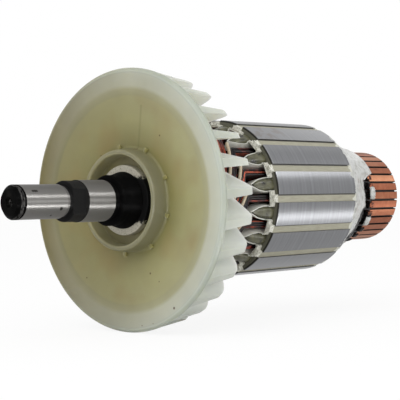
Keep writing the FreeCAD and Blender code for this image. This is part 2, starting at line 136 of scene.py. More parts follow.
# Shaft: medium carbon steel, seats ground bright, the rest left black from heat treatment
shaftLook = {
    "groundSteel": "#7a7977",
    "groundLow": "#6b6967",
    "black": "#030303",
    "blackWorn": "#1a1816",
    "milled": "#1b1b1b",
    "scuff": "#1d1a18",
    "lineSpacingMm": 0.35,
    # millimetres along the shaft, and how much of the surface is ground from there on
    "zones": ((-12.0, 0.0), (-10.95, 0.24), (-9.85, 0.0), (-9.2, 1.0),
              (9.15, 0.75), (10.6, 0.1), (17.95, 1.0), (30.4, 0.0)),
    "zonesEnd": 42.0, "rearGroundFrom": 100.0, "noseEnd": -9.6,
    # the milled flats lie inside a radius, on the collar: its middle and half its length
    "flatFade": (7.15, 7.05), "collar": (14.1, 3.5),
    # millimetres along the front seat, degrees round it and size
    "seatRadius": 6.0,
    "scuffs": ((-4.6, 38, 0.42), (-5.5, 38, 0.36), (-3.8, 38, 0.36), (6.4, -25, 0.5), (3.1, -52, 0.3)),
}


def shaftMaterial(look):
    material, add, shader, at = newMaterial("groundSteelShaft", Roughness=0.45, Specular_IOR_Level=0.04)
    tip, end = look["zones"][0][0], look["zonesEnd"]
    along = add("MapRange", [at["x"], tip, end])
    ground = add("ValToRGB", [along], [((x - tip) / (end - tip), share) for x, share in look["zones"]])
    ground.color_ramp.interpolation = "CONSTANT"
    rear = add("Math", [at["x"], look["rearGroundFrom"]], operation="GREATER_THAN")
    # the black is worn off in patches round the nose
    drawn = add("VectorMath", [at["place"], (4.0, 0.7, 0.7)], operation="MULTIPLY")
    rubbed = add("TexNoise", {"Vector": drawn, "Scale": 1.0, "Detail": 4.0})
    patches = add("MapRange", [rubbed, 0.42, 0.6, 0, 1.7])
    onNose = add("Math", [at["x"], look["noseEnd"]], operation="LESS_THAN")
    share = add("Mix", [onNose, 1.0, patches])
    worn = add("Math", [ground, share], operation="MULTIPLY")
    bright = add("Math", [worn, rear], operation="MAXIMUM")
    lines = add("TexNoise",
                {"W": at["x"], "Scale": 1 / look["lineSpacingMm"], "Detail": 3.0, "Roughness": 0.6},
                noise_dimensions="1D")
    clouds = add("TexNoise", {"Vector": at["place"], "Scale": 0.22, "Detail": 4.0})
    steel = add("Mix", [lines, look["groundLow"], look["groundSteel"]], data_type="RGBA")
    wornMask = add("MapRange", [clouds, 0.6, 0.85])
    black = add("Mix", [wornMask, look["black"], look["blackWorn"]], data_type="RGBA")
    colour = add("Mix", [bright, black, steel], data_type="RGBA")
    milled = add("MapRange", [at["radius"], *look["flatFade"]])
    onCollar = add("Math", [at["x"], *look["collar"]], operation="COMPARE")
    flat = add("Math", [milled, onCollar], operation="MULTIPLY")
    last = add("Mix", [flat, colour, look["milled"]], data_type="RGBA")
    for x, degrees, size in look["scuffs"]:
        centre = pointAt(x, look["seatRadius"], degrees) * 1000
        spot = add("VectorMath", [at["place"], centre], operation="DISTANCE")
        near = add("MapRange", [spot, size, size * 1.6, 0.85, 0])
        last = add("Mix", [near, last, look["scuff"]], data_type="RGBA")
    gloss = add("MapRange", [lines, 0, 1, 0.4, 0.5])
    rough = add("Mix", [bright, 0.55, gloss])
    bump = add("Bump", {"Height": lines, "Strength": 0.08, "Distance": 0.0001})
    turnedSheen(add, shader, 0.95)
    fill(shader, {"Base Color": last, "Metallic": bright, "Roughness": rough, "Normal": bump})
    return material


dress("shaft", shaftMaterial(shaftLook), 25)


# Insulating sleeve: glass filled resin, sawn end face with dark specks, black on one side
# varnish names the colour of the black on the -Y side
sleeveLook = {"resin": "#a5a08f", "resinLight": "#bdb9ab", "speck": "#3b322a", "varnish": "#0e0e0e",
              "blackEdge": (10.2, 11.4), "tearMm": 5.0}


def sleeveMaterial(look):
    material, add, shader, at = newMaterial("speckledSleeveResin", Roughness=0.6)
    grain = add("TexNoise", {"Vector": at["place"], "Scale": 1.6, "Detail": 5.0, "Roughness": 0.7})
    body = add("ValToRGB", [grain],
               [(0.3, look["speck"]), (0.42, look["resin"]), (0.75, look["resinLight"])])
    # black covers the -Y side of the end face, with a torn edge
    edge = add("TexNoise", {"Vector": at["place"], "Scale": 0.9, "Detail": 6.0})
    height = add("Math", [at["z"]], operation="ABSOLUTE")
    torn = add("Math", [edge, look["tearMm"], height], operation="MULTIPLY_ADD")
    band = add("MapRange", [torn, *look["blackEdge"], 1, 0])
    side = add("Math", [at["y"], 0.0], operation="LESS_THAN")
    run = add("Math", [band, side], operation="MULTIPLY")
    colour = add("Mix", [run, body, look["varnish"]], data_type="RGBA")
    shine = add("MapRange", [run, 0, 1, 0.5, 0.05])
    bump = add("Bump", {"Height": grain, "Strength": 0.3, "Distance": 0.0003})
    fill(shader, {"Base Color": colour, "Specular IOR Level": shine, "Normal": bump})
    return material


dress("shaft_sleeve", sleeveMaterial(sleeveLook), 30)


# Fan: natural polyamide, moulded, milky and slightly see-through, yellower where it is thick
fanLook = {
    # radius in mm, colour on the far side (+Y) darkened with painted shade, colour on the near side (-Y)
    # lightened with painted light
    "rings": (
        # the ring at 16.6, the wall of the recess, is painted light; the rings at 18.9 and 19.6, at the foot
        # of the boss, are painted shade
        (12.5, "#77714d", "#7e7854"), (16.2, "#78724e", "#7e7854"), (16.6, "#9c9674", "#a19e7b"),
        (17.6, "#767053", "#82806a"), (18.9, "#716c4a", "#7b7960"), (19.6, "#767144", "#868253"),
        (22.5, "#7c7649", "#8c885b"), (30.0, "#7f784c", "#9e9b70"), (38.0, "#7f7950", "#a3a07a"),
        (38.8, "#767150", "#a09e7c"), (40.6, "#7e795c", "#a4a283"), (42.2, "#776f4c", "#b8b9a8"),
        (46.6, "#6f663d", "#bbbeb2"), (46.9, "#6c6542", "#b2b7ae"), (47.3, "#746e4c", "#bbc0b7"),
        (47.9, "#7a7452", "#a9afa6"), (48.4, "#7a7554", "#a6aca3"),
    ),
    "rimSide": "#999f94",
    "bladeInnerPaintedLight": "#cdd2c3",
    "bladeTipPaintedShade": "#a8ad9f",
    # distance from the axis, degrees and radius of each speck
    "specks": ((22.5, 131, 0.3), (19.2, 76, 0.35), (28.4, 54, 0.4), (28.8, -68, 0.45), (36.5, -127, 0.35),
               (33.4, -62, 0.3), (45.4, -58, 0.6), (46.3, -80, 0.3), (46.6, -73, 0.25)),
    # the line where two flows of plastic met: degrees, from and to radius, width
    "weldLine": (76.0, 19.5, 35.6, 0.8),
    "weldShade": "#5f5a33", "speckShade": "#4a2f1c", "tint": "#8a7040",
    # radii where the brown clouds of the dish fade out, towards its edge and towards the boss
    "dishEdge": (40, 36), "dishFoot": (19, 23),
    # where the blades start: behind the land, outside the dish, and everywhere behind the plate
    "landBack": (43.2, 44.2), "dishRim": (41, 42), "plateBack": (45.6, 46.6),
    # radii where the side of the rim starts and where the blades pass from painted light deep between them to
    # painted shade at their tips
    "rimEdge": (48.45, 48.58), "tipFade": (45, 48),
    # reach of the rings, and half the width over which the painted light of the near side turns into the
    # painted shade of the far side
    "outerRadius": 49.0, "shadeHalfWidth": 46.0,
    # how deep light goes, in metres, in the plate and in the thin blades
    "lightDepth": (0.004, 0.035),
}


def fanMaterial(look):
    material, add, shader, at = newMaterial("mouldedNaturalNylon", Roughness=0.42, IOR=1.53,
                                             Specular_IOR_Level=0.3)
    span = look["outerRadius"]
    front = add("MapRange", [at["radius"], 0, span])
    far = add("ValToRGB", [front], [(r / span, c) for r, c, _ in look["rings"]])
    near = add("ValToRGB", [front], [(r / span, c) for r, _, c in look["rings"]])
    # the plate's colour is painted light on the near side and painted shade on the far side
    across = add("MapRange", [at["y"], -look["shadeHalfWidth"], look["shadeHalfWidth"]])
    farShadeShare = add("Math", [across, 1.5], operation="POWER")
    plate = add("Mix", [farShadeShare, near, far], data_type="RGBA")
    degrees, start, stop, width = look["weldLine"]
    turned = add("Math", [at["angle"], math.radians(degrees)], operation="SUBTRACT")
    offLine = add("Math", [turned], operation="ABSOLUTE")
    aside = add("Math", [offLine, at["radius"]], operation="MULTIPLY")
    onLine = add("MapRange", [aside, 0, width, 0.3, 0])
    within = add("Math", [at["radius"], (start + stop) / 2, (stop - start) / 2], operation="COMPARE")
    weld = add("Math", [onLine, within], operation="MULTIPLY")
    lined = add("Mix", [weld, plate, look["weldShade"]], data_type="RGBA")
    # browner clouds in the dish
    clouds = add("TexNoise", {"Vector": at["place"], "Scale": 0.045, "Detail": 2.0})
    cloud = add("MapRange", [clouds, 0.48, 0.66, 0, 0.35])
    dish = add("MapRange", [at["radius"], *look["dishEdge"]])
    foot = add("MapRange", [at["radius"], *look["dishFoot"]])
    outside = add("Math", [dish, foot], operation="MULTIPLY")
    tintShare = add("Math", [cloud, outside], operation="MULTIPLY")
    tintedPlate = add("Mix", [tintShare, lined, look["tint"]], data_type="RGBA")
    flow = add("TexNoise", {"Vector": at["place"], "Scale": 0.06, "Detail": 3.0})
    behind = add("MapRange", [at["x"], *look["landBack"]])
    outer = add("MapRange", [at["radius"], *look["dishRim"]])
    rimward = add("Math", [behind, outer], operation="MULTIPLY")
    deep = add("MapRange", [at["x"], *look["plateBack"]])
    blades = add("Math", [rimward, deep], operation="MAXIMUM")
    side = add("MapRange", [at["radius"], *look["rimEdge"]])
    rimmed = add("Mix", [side, tintedPlate, look["rimSide"]], data_type="RGBA")
    # the blades are painted light where they lie deep in the shade between each other, and painted darker at
    # the tips, which the lamps light
    tipward = add("MapRange", [at["radius"], *look["tipFade"]])
    blade = add("Mix", [tipward, look["bladeInnerPaintedLight"], look["bladeTipPaintedShade"]], data_type="RGBA")
    colour = add("Mix", [blades, rimmed, blade], data_type="RGBA")
    shade = add("MapRange", [flow, 0.3, 0.7, 0.93, 1.06])
    last = add("VectorMath", [colour, shade], operation="SCALE")
    for reach, degrees, size in look["specks"]:
        a = math.radians(degrees)
        spot = add("VectorMath",
                   [at["place"], (0.0, 1.0, 1.0), (0.0, reach * math.cos(a), -reach * math.sin(a))],
                   operation="MULTIPLY_ADD")
        apart = add("VectorMath", [spot], operation="LENGTH")
        speck = add("MapRange", [apart, size * 0.6, size, 0.8, 0])
        last = add("Mix", [speck, last, look["speckShade"]], data_type="RGBA")
    # light goes right through the thin blades
    depth = add("MapRange", [blades, 0, 1, *look["lightDepth"]])
    orange = add("TexNoise", {"Vector": at["place"], "Scale": 0.7, "Detail": 2.0})
    bump = add("Bump", {"Height": orange, "Strength": 0.08, "Distance": 0.0004})
    fill(shader, {"Base Color": last, "Subsurface Weight": 0.75, "Subsurface Radius": (1.0, 0.95, 0.7),
                  "Subsurface Scale": depth, "Normal": bump})
    return material


dress("fan", fanMaterial(fanLook), 35)
print("shaft and fan dressed")


# Core: stamped silicon steel sheets, turned to size after stacking, grey with fine bright lines round it
coreLook = {
    "steel": "#77787a", "steelLight": "#7f8083", "steelDark": "#6e6f72", "sheetMm": 1.6,
    "varnish": "#646357", "bevelBlack": "#22211c", "resin": "#b9bab5", "stain": "#6b6562",
    # brown stains lie above an angle in radians, and in front of a place along the shaft
    "stainAngle": (0.75, 0.85), "stainEnd": (118, 112),
    "rimMm": 30.55, "bevelMm": 0.42, "resinReachMm": 9.0,
}
# slots, the turn of the first one, and the end faces, which the wedges and the coils follow
coreShape = {"slots": 16, "phaseDegrees": -0.9, "front": 94.05, "rear": 146.05}


def coreMaterial(look, shape):
    material, add, shader, at = newMaterial("turnedSiliconSteel", Specular_IOR_Level=0.1)
    sheets = add("TexNoise", {"W": at["x"], "Scale": 1 / look["sheetMm"], "Detail": 3.0, "Roughness": 0.6},
                 noise_dimensions="1D")
    smear = add("VectorMath", [at["place"], (2.2, 0.12, 0.12)], operation="MULTIPLY")
    streaks = add("TexNoise", {"Vector": smear, "Scale": 1.0, "Detail": 5.0, "Roughness": 0.65})
    both = add("Math", [sheets, 0.6, 0.0], operation="MULTIPLY_ADD")
    total = add("Math", [streaks, 0.4, both], operation="MULTIPLY_ADD")
    colour = add("ValToRGB", [total],
                 [(0.3, look["steelDark"]), (0.5, look["steel"]), (0.72, look["steelLight"])])
    # brown stains near the front of the upper teeth
    blots = add("TexNoise", {"Vector": at["place"], "Scale": 0.16, "Detail": 4.0, "Distortion": 0.6})
    blot = add("MapRange", [blots, 0.52, 0.6, 0, 0.8])
    upper = add("MapRange", [at["angle"], *look["stainAngle"]])
    ahead = add("MapRange", [at["x"], *look["stainEnd"]])
    place = add("Math", [upper, ahead], operation="MULTIPLY")
    stain = add("Math", [blot, place], operation="MULTIPLY")
    stained = add("Mix", [stain, colour, look["stain"]], data_type="RGBA")
    # olive varnish on the end faces, and black along their bevelled outer edge
    half = (shape["rear"] - shape["front"]) / 2
    away = add("Math", [at["x"], shape["front"] + half], operation="SUBTRACT")
    reach = add("Math", [away], operation="ABSOLUTE")
    varnish = add("MapRange", [reach, half - look["bevelMm"], half - look["bevelMm"] + 0.08])
    outward = add("MapRange", [at["radius"], look["rimMm"] - 0.2, look["rimMm"] + 0.05])
    coat = add("Mix", [outward, look["varnish"], look["bevelBlack"]], data_type="RGBA")
    ended = add("Mix", [varnish, stained, coat], data_type="RGBA")
    # ragged smears of the poured resin over the rear edge of the teeth
    smearNoise = add("TexNoise", {"Vector": at["place"], "Scale": 0.32, "Detail": 3.0})
    pushed = add("Math", [smearNoise, look["resinReachMm"], at["x"]], operation="MULTIPLY_ADD")
    smears = add("MapRange", [pushed, shape["rear"] + 3.6, shape["rear"] + 3.8])
    whole = add("Mix", [smears, ended, look["resin"]], data_type="RGBA")
    covered = add("Math", [varnish, smears], operation="MAXIMUM")
    bare = add("Math", [1.0, covered], operation="SUBTRACT")
    gloss = add("MapRange", [total, 0.3, 0.7, 0.28, 0.32])
    bump = add("Bump", {"Height": total, "Strength": 0.01, "Distance": 0.00005})
    turnedSheen(add, shader, 0.7)
    fill(shader, {"Base Color": whole, "Metallic": bare, "Roughness": gloss, "Normal": bump})
    return material


dress("core", coreMaterial(coreLook, coreShape), 25)


# Slot wedges: cream vulcanised fibre, with painted shade along both edges where they meet the teeth
# edge is the colour of the painted shade along both sides of each wedge
wedgeLook = {"fibre": "#aba894", "fibreDark": "#858270", "edge": "#3c3a33", "torn": "#d4d3c8",
             "tornShade": "#a3a192", "resin": "#c6c6ba", "edgeFade": (1.36, 1.6), "resinReachMm": 7.0}
wedgeShape = {
    # millimetres along the shaft: the torn front ends reach back to tornTo
    "front": 91.75, "tornTo": 94.0, "rear": 146.45,
    # radius and half width of the T, from its narrow top down to its foot
    "profile": ((30.7, 1.57), (30.05, 1.57), (29.4, 1.57), (29.2, 2.37), (29.03, 3.17), (28.53, 3.17)),
    # how far at most the torn edges draw in, the end draws back and the faces sink
    "drawIn": 1.3, "drawBack": 1.6, "sink": 0.6, "tearFade": 0.5,
}


def wedgeMaterial(look, shape, core):
    material, add, shader, at = newMaterial("vulcanisedFibre", Roughness=0.62)
    pitch = 2 * math.pi / core["slots"]
    # a count of slots round the core, kept above zero, with each wedge's middle at a half
    turns = add("Math", [at["angle"], 1 / pitch, 100.5 - math.radians(core["phaseDegrees"]) / pitch],
                operation="MULTIPLY_ADD")
    share = add("Math", [turns], operation="FRACT")
    centred = add("Math", [share, 0.5], operation="SUBTRACT")
    offset = add("Math", [centred], operation="ABSOLUTE")
    sideways = add("Math", [offset, pitch * shape["profile"][0][0]], operation="MULTIPLY")
    fibres = add("VectorMath", [at["place"], (0.25, 2.0, 2.0)], operation="MULTIPLY")
    grain = add("TexNoise", {"Vector": fibres, "Scale": 1.0, "Detail": 4.0})
    # more painted shade along the upper edge, under the tooth above, than along the lower one
    upperShadeOffset = add("Math", [centred, 2.4, sideways], operation="MULTIPLY_ADD")
    wobble = add("Math", [grain, 0.35, upperShadeOffset], operation="MULTIPLY_ADD")
    rim = add("MapRange", [wobble, *look["edgeFade"]])
    body = add("Mix", [grain, look["fibreDark"], look["fibre"]], data_type="RGBA")
    onSlot = add("Math", [at["x"], shape["tornTo"]], operation="GREATER_THAN")
    edge = add("Math", [rim, onSlot], operation="MULTIPLY")
    colour = add("Mix", [edge, body, look["edge"]], data_type="RGBA")
    # in front of the core the fibre is torn open, and whiter
    fluff = add("TexNoise", {"Vector": at["place"], "Scale": 1.3, "Detail": 4.0})
    torn = add("ValToRGB", [fluff], [(0.34, look["tornShade"]), (0.48, look["torn"])])
    inFront = add("MapRange", [at["x"], shape["tornTo"] + 0.2, shape["tornTo"] - 0.2])
    ended = add("Mix", [inFront, colour, torn], data_type="RGBA")
    # the poured resin runs a little way over the rear ends
    smearNoise = add("TexNoise", {"Vector": at["place"], "Scale": 0.45, "Detail": 3.0})
    pushed = add("Math", [smearNoise, look["resinReachMm"], at["x"]], operation="MULTIPLY_ADD")
    smears = add("MapRange", [pushed, shape["rear"] + 2.0, shape["rear"] + 2.2])
    whole = add("Mix", [smears, ended, look["resin"]], data_type="RGBA")
    bump = add("Bump", {"Height": grain, "Strength": 0.25, "Distance": 0.0002})
    fill(shader, {"Base Color": whole, "Normal": bump})
    return material


def buildWedges(shape, core, material):
    # T strips whose front ends are frayed
    front, tornTo = shape["front"], shape["tornTo"]
    stations = [front + i * (tornTo - front) / 10 for i in range(11)] + [shape["rear"]]
    outline = list(shape["profile"]) + [(r, -w) for r, w in reversed(shape["profile"])]
    size = len(outline)
    vertices, faces = [], []
    for slot in range(core["slots"]):
        degrees = core["phaseDegrees"] + 360 / core["slots"] * slot
        base = len(vertices)
        turn = Matrix.Rotation(-math.radians(degrees), 3, "X")
        for i, x in enumerate(stations):
            tear = min(1.0, max(0.0, (tornTo - x) / shape["tearFade"]))
            for k, (radius, half) in enumerate(outline):
                spot = noise.noise_vector(Vector((x * 1.7, half * 1.1, radius * 1.3 + 9.0 * slot)))
                inward = 1 - abs(spot.x) * tear * shape["drawIn"] / max(abs(half), 1.0)
                start = x + (abs(spot.y) * shape["drawBack"] * tear if i == 0 else 0.0)
                sunk = radius - abs(spot.z) * tear * shape["sink"]
                vertices.append(turn @ Vector((start, -sunk, half * inward)) * 0.001)
        for i in range(len(stations) - 1):
            low, high = base + i * size, base + (i + 1) * size
            for k in range(size):
                faces.append((low + k, low + (k + 1) % size, high + (k + 1) % size, high + k))
        last = base + (len(stations) - 1) * size
        half = size // 2
        for k in range(half - 1):
            faces.append((base + k + 1, base + k, base + size - 1 - k, base + size - 2 - k))
            faces.append((last + k, last + k + 1, last + size - 2 - k, last + size - 1 - k))
    mesh = newMesh("frayedWedges", vertices, faces, material)
    mesh.set_sharp_from_angle(angle=math.radians(40))
    wedges = addObject("frayedWedges", mesh)
    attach(wedges, "root")
    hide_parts("slot_wedges")


buildWedges(wedgeShape, coreShape, wedgeMaterial(wedgeLook, wedgeShape, coreShape))


# Slot liners: white polyester film, glossy and a little milky
linerLook = {"film": "#e0e1db", "filmShade": "#b9b9aa"}


def linerMaterial(look):
    material, add, shader, at = newMaterial("whitePolyesterFilm", Roughness=0.3, IOR=1.6)
    folds = add("TexNoise", {"Vector": at["place"], "Scale": 0.5, "Detail": 3.0})
    colour = add("Mix", [folds, look["filmShade"], look["film"]], data_type="RGBA")
    bump = add("Bump", {"Height": folds, "Strength": 0.2, "Distance": 0.0005})
    fill(shader, {"Base Color": colour, "Subsurface Weight": 0.2, "Subsurface Radius": (1.0, 1.0, 0.9),
                  "Subsurface Scale": 0.001, "Normal": bump})
    return material


dress("slot_liners", linerMaterial(linerLook), 30)


# End insulators: olive grey moulded polyester, glossy from varnish
insulatorLook = {"plastic": "#4a4938", "plasticLight": "#67664f", "dirt": "#171612"}


def insulatorMaterial(look):
    material, add, shader, at = newMaterial("varnishedPolyesterMoulding", Roughness=0.24, IOR=1.52,
                                             Specular_IOR_Level=0.35)
    clouds = add("TexNoise", {"Vector": at["place"], "Scale": 0.35, "Detail": 4.0})
    colour = add("ValToRGB", [clouds],
                 [(0.3, look["dirt"]), (0.42, look["plastic"]), (0.7, look["plasticLight"])])
    bump = add("Bump", {"Height": clouds, "Strength": 0.2, "Distance": 0.0006})
    fill(shader, {"Base Color": colour, "Normal": bump})
    return material


insulatorPlastic = insulatorMaterial(insulatorLook)
for name in ("front_end_insulator", "rear_end_insulator"):
    dress(name, insulatorPlastic, 40)
print("core dressed")


# Windings: enamelled copper wire, dark red and glossy, twelve turns showing in each bundle
wireLook = {"enamel": "#440f08", "enamelDark": "#060101", "enamelLight": "#95452f"}


def wireMaterial(look):
    material, add, shader, at = newMaterial("enamelledCopper", Metallic=0.6, Roughness=0.34)
    tone = add("TexNoise", {"Vector": at["place"], "Scale": 0.25, "Detail": 2.0})
    strand = add("Attribute", attribute_name="strandTone")
    both = add("Math", [strand.outputs["Fac"], 0.5, tone], operation="MULTIPLY_ADD")
    colour = add("ValToRGB", [both],
                 [(0.62, look["enamelDark"]), (0.74, look["enamel"]), (0.92, look["enamelLight"])])
    fill(shader, {"Base Color": colour, "Coat Weight": 0.06, "Coat Roughness": 0.15})
    return material


def loopMesh(name, paths, radius, sides, material):
    # round wires along closed paths, in one mesh, each with its own tone
    vertices, faces = [], []
    for path in paths:
        count = len(path)
        first = len(vertices)
        ahead = [(path[(i + 1) % count] - path[i - 1]).normalized() for i in range(count)]
        across = ahead[0].orthogonal().normalized()
        for i in range(count):
            across = (across - ahead[i] * across.dot(ahead[i])).normalized()
            other = ahead[i].cross(across)
            for k in range(sides):
                a = 2 * math.pi * k / sides
                vertices.append(path[i] + (across * math.cos(a) + other * math.sin(a)) * radius)
        # the last ring meets the first one at its nearest corner
        corner = vertices[first]
        lastRing = vertices[first + (count - 1) * sides:]
        turnBack = min(range(sides), key=lambda k: (lastRing[k] - corner).length)
        for i in range(count):
            low = first + i * sides
            high = first + ((i + 1) % count) * sides
            shift = 0 if i < count - 1 else -turnBack
            for k in range(sides):
                faces.append((low + k, low + (k + 1) % sides,
                              high + (k + 1 + shift) % sides, high + (k + shift) % sides))
    mesh = newMesh(name, vertices, faces, material)
    tones = mesh.attributes.new("strandTone", "FLOAT", "POINT")
    start = 0
    for path in paths:
        tone = random.random()
        for k in range(start, start + len(path) * sides):
            tones.data[k].value = tone
        start += len(path) * sides
    return mesh


coilShape = {
    "spanDegrees": 157.5,  # from one side of the coil to the other, seven slots on
    # outer and inner layer: radius at the core, and at the nose where they meet
    "outerRadius": 24.9, "innerRadius": 20.2, "noseOuter": 19.4, "noseInner": 14.4,
    "frontStraight": 12.2, "frontLength": 15.2, "rearStraight": 4.0, "rearLength": 13.6,
    "wireDiameter": 0.84, "wireSides": 7, "rows": 4, "columns": 3, "looseness": 0.16,
    "bundleHeight": 2.55, "bundleWidth": 1.75,
}


def layer(start, nose, radii, fromDegrees, toDegrees, lift):
    # points from the core to the nose: x, radius, degrees, and which way the bundle's height points
    steps = 12
    points = []
    for i in range(steps + 1):
        share = i / steps
        points.append((start + (nose - start) * share, radii[0] + (radii[1] - radii[0]) * share,
                       fromDegrees + (toDegrees - fromDegrees) * share, 0.0, lift))
    return points


def coilLoop(shape, core, rowShare, columnShare, wander):
    # one turn of wire, round the front head and back round the rear head
    half = shape["spanDegrees"] / 2
    bend = (shape["noseOuter"] - shape["noseInner"]) / 2
    middle = (shape["noseOuter"] + shape["noseInner"]) / 2
    points = []
    heads = ((core["front"], -1, shape["frontStraight"], shape["frontLength"]),
             (core["rear"], 1, shape["rearStraight"], shape["rearLength"]))
    for face, way, straight, length in heads:
        start = face + way * straight
        nose = start + way * length
        head = layer(start, nose, (shape["outerRadius"], shape["noseOuter"]), 0.0, -half, 1.0)
        for turn in (60, 30, 0, -30, -60):
            a = math.radians(turn)
            head.append((nose + way * bend * math.cos(a), middle + bend * math.sin(a), -half,
                         way * math.cos(a), math.sin(a)))
        head += layer(start, nose, (shape["innerRadius"], shape["noseInner"]), -2 * half, -half, -1.0)[::-1]
        points += head if way < 0 else head[::-1]
    loop = []
    count = len(points)
    for i, (x, radius, degrees, liftX, liftR) in enumerate(points):
        here = pointAt(x, radius, degrees)
        outward = pointAt(0, 1000, degrees).normalized()
        along = (pointAt(*points[(i + 1) % count][:3]) - pointAt(*points[i - 1][:3])).normalized()
        height = Vector((liftX, 0, 0)) + outward * liftR
        height = (height - along * height.dot(along)).normalized()
        sideways = along.cross(height)
        drift = noise.noise_vector(Vector((wander, i * 0.35, 0.0))) * shape["looseness"]
        up = rowShare * shape["bundleHeight"] + drift.x
        aside = columnShare * shape["bundleWidth"] + drift.y
        loop.append(here + height * up * 0.001 + sideways * aside * 0.001)
    return loop


def buildCoils(shape, core, material):
    rows, columns = shape["rows"], shape["columns"]
    places = [(row / (rows - 1) - 0.5, column / (columns - 1) - 0.5)
              for row in range(rows) for column in range(columns)]
    for number in range(core["slots"]):
        # each wire drifts along its own stretch of the noise
        strands = [coilLoop(shape, core, r, c, 10.0 * number + 3.7 * k) for k, (r, c) in enumerate(places)]
        mesh = loopMesh("coilWires", strands, shape["wireDiameter"] / 2000, shape["wireSides"], material)
        turn = math.radians(core["phaseDegrees"] + 360 / core["slots"] * number)
        mesh.transform(Matrix.Rotation(-turn, 4, "X"))
        coil = addObject("coilWires_%02d" % (number + 1), mesh)
        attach(coil, "root")
        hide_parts("coil_%02d" % (number + 1))


enamelledCopper = wireMaterial(wireLook)
buildCoils(coilShape, coreShape, enamelledCopper)
dress("lead_wires", enamelledCopper, 50)


# Tape strips between the bundles: woven cotton tape, cream and dull, with its weave stiff from varnish
tapeLook = {"tape": "#cdbfa6", "tapeDark": "#a89a80"}


def tapeMaterial(look):
    material, add, shader, at = newMaterial("varnishedCottonTape", Roughness=0.7)
    weave = add("TexVoronoi", {"Vector": at["place"], "Scale": 1.8})
    colour = add("Mix", [weave, look["tape"], look["tapeDark"]], data_type="RGBA")
    bump = add("Bump", {"Height": weave, "Strength": 0.4, "Distance": 0.0002})
    fill(shader, {"Base Color": colour, "Normal": bump})
    return material


dress("coil_separators", tapeMaterial(tapeLook), 60)
print("windings built")


# Poured resin over the rear head: white epoxy, set in lumps and drips
resinLook = {
    # varnish names the colour of the black on the low side
    "resin": "#bdbebb", "shade": "#9a9a92", "dirt": "#4a4640", "varnish": "#0e0d0c",
    # the black reaches further forward the lower it lies: angles in radians, and the x at both
    "blackAngle": (-0.85, -0.2), "blackX": (149.5, 164.5), "tearMm": 9.0,
    # the low side that it covers, as middle and half width in radians; it ends before the hooks
    "lowSide": (-1.05, 1.15), "hooksFrom": (169.6, 170),
}
resinShape = {
    "start": 146.85, "end": 166.55, "startRadius": 29.2, "endRadius": 22.0, "wall": 1.5, "lumpMm": 0.75,
    # share of the length that is straight, before the cone narrows
    "straight": 0.12, "around": 256, "along": 36,
    # degrees where the resin starts to run over the hooks, where it covers them all, and back again
    "runOver": (17, 27, 105, 125), "runLength": 8.3, "runRadius": 21.85,
    # degrees from and to, x from and to, of splashes on the hooks, which start below the hooks' tops
    "splashes": ((-5, 11, 170.6, 174.6), (-38, -25, 170.4, 174.3)),
    "splashRadius": 21.3, "splashMm": 0.75, "splashAround": 28, "splashAlong": 14,
}


def resinMaterial(look):
    material, add, shader, at = newMaterial("pouredWhiteEpoxy", Roughness=0.28, IOR=1.55)
    clouds = add("TexNoise", {"Vector": at["place"], "Scale": 0.45, "Detail": 4.0})
    colour = add("ValToRGB", [clouds], [(0.22, look["dirt"]), (0.33, look["shade"]), (0.52, look["resin"])])
    # black on the low side, along the edge that faces the bars
    limit = add("MapRange", [at["angle"], *look["blackAngle"], *look["blackX"]])
    ragged = add("Math", [clouds, look["tearMm"], at["x"]], operation="MULTIPLY_ADD")
    over = add("Math", [ragged, limit], operation="SUBTRACT")
    beyond = add("MapRange", [over, 4.2, 4.6])
    crust = add("MapRange", [at["x"], *look["hooksFrom"], 1, 0])
    stained = add("Math", [beyond, crust], operation="MULTIPLY")
    below = add("Math", [at["angle"], *look["lowSide"]], operation="COMPARE")
    masked = add("Math", [stained, below], operation="MULTIPLY")
    whole = add("Mix", [masked, colour, look["varnish"]], data_type="RGBA")
    shine = add("MapRange", [masked, 0, 1, 0.5, 0.06])
    bump = add("Bump", {"Height": clouds, "Strength": 0.3, "Distance": 0.0008})
    fill(shader, {"Base Color": whole, "Specular IOR Level": shine, "Subsurface Weight": 0.2,
                  "Subsurface Radius": (1.0, 1.0, 0.95), "Subsurface Scale": 0.0015, "Normal": bump})
    return material


def runShare(shape, degrees):
    # 1 where the resin runs over the hooks, 0 where it stops short of them
    low, full, back, end = shape["runOver"]
    wander = degrees + 5 * noise.noise(Vector((degrees * 0.12, 3.0, 0.0)))
    return max(0.0, min(1.0, (wander - low) / (full - low), (end - wander) / (end - back)))


def coneRadius(shape, share):
    # outer radius of the resin at a share of its length
    fall = max(0.0, share - shape["straight"]) / (1 - shape["straight"])
    return shape["startRadius"] + (shape["endRadius"] - shape["startRadius"]) * fall


